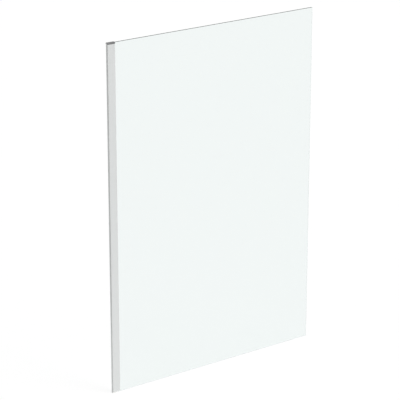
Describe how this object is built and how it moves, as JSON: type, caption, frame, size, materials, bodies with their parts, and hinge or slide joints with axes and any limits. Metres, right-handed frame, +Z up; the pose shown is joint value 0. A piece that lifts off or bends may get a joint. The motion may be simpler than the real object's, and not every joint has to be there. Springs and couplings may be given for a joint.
{
  "type": "walk-in shower screen",
  "caption": "Walk-in shower screen: a clear toughened glass panel held along one upright edge by an aluminium wall post that slides out for width adjustment.",
  "frame": {"origin": "on the wall plane at tray level, under the middle of the glass thickness, on the wall-side edge of the foot's underside", "axes": "+X from the wall along the glass, +Y to the shower side (the clamp screws are there), +Z up"},
  "size_m": [1.38, 0.021, 2.002],
  "materials": {
    "satin_aluminium": "satin anodised, silver",
    "clear_glass": "polished, faint green tint",
    "clear_gasket": "translucent soft plastic",
    "grey_plastic": "moulded, matt",
    "white_nylon": "moulded, matt",
    "packer_rubber": "matt",
    "stainless_steel": "plain stainless",
    "silver_plastic": "silver coloured, smooth"
  },
  "bodies": {
    "wall_side": {"wall_channel": "satin_aluminium", "foot_plug": "white_nylon"},
    "glass_side": {"glass_post": "satin_aluminium", "glass_panel": "clear_glass", "front_gasket": "clear_gasket", "wedge_gasket": "clear_gasket", "top_cap": "grey_plastic", "edge_packer_1": "packer_rubber", "edge_packer_2": "packer_rubber", "edge_packer_3": "packer_rubber", "edge_packer_4": "packer_rubber", "clamp_screws": "stainless_steel", "clamp_plates": "stainless_steel", "screw_cups": "white_nylon", "screw_cover_1": "silver_plastic", "screw_cover_2": "silver_plastic", "screw_cover_3": "silver_plastic"}
  },
  "joints": [
    {"name": "width_adjust", "type": "slide", "parent": "wall_side", "child": "glass_side", "axis": [1, 0, 0], "range_m": [0, 0.02]}
  ]
}
